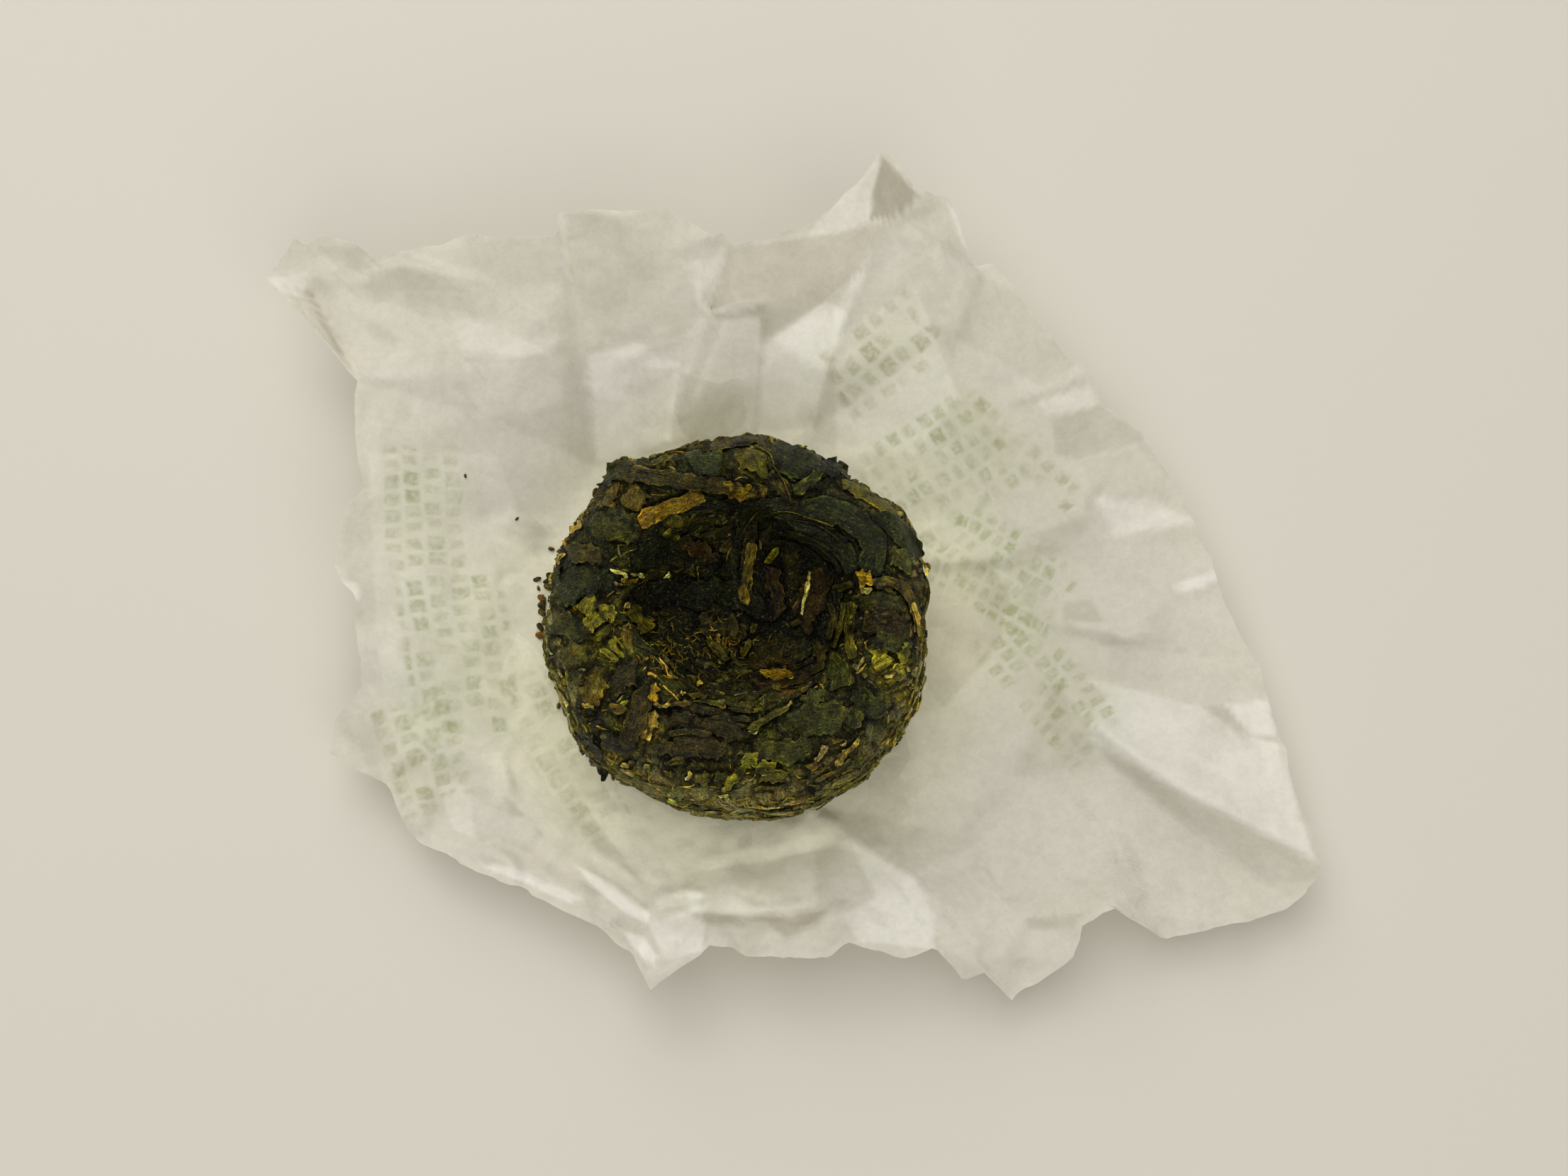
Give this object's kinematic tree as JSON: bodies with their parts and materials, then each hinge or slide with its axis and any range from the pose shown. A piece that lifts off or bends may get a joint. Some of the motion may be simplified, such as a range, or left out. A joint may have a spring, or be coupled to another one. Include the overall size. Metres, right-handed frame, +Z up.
{
  "type": "mini tuocha",
  "caption": "Small nest-shaped cake of pressed tea leaves, hollow side up, resting on its opened and crumpled tissue wrapper.",
  "frame": {"origin": "on the underside of the wrapper, at the middle of its flat foot below the cake", "axes": "+Z up out of the hollow of the cake, +X along the longest reach of the opened wrapper, +Y towards the wrapper's tallest corner"},
  "size_m": [0.0879, 0.0688, 0.0165],
  "materials": {
    "pressed_leaf": "dry pressed tea leaf, dark olive to brown, faintly waxy",
    "tissue": "thin matt crumpled tissue, translucent, faint grey-green print showing through"
  },
  "bodies": {
    "root": {"tuocha": "pressed_leaf", "wrapper": "tissue"}
  },
  "joints": []
}
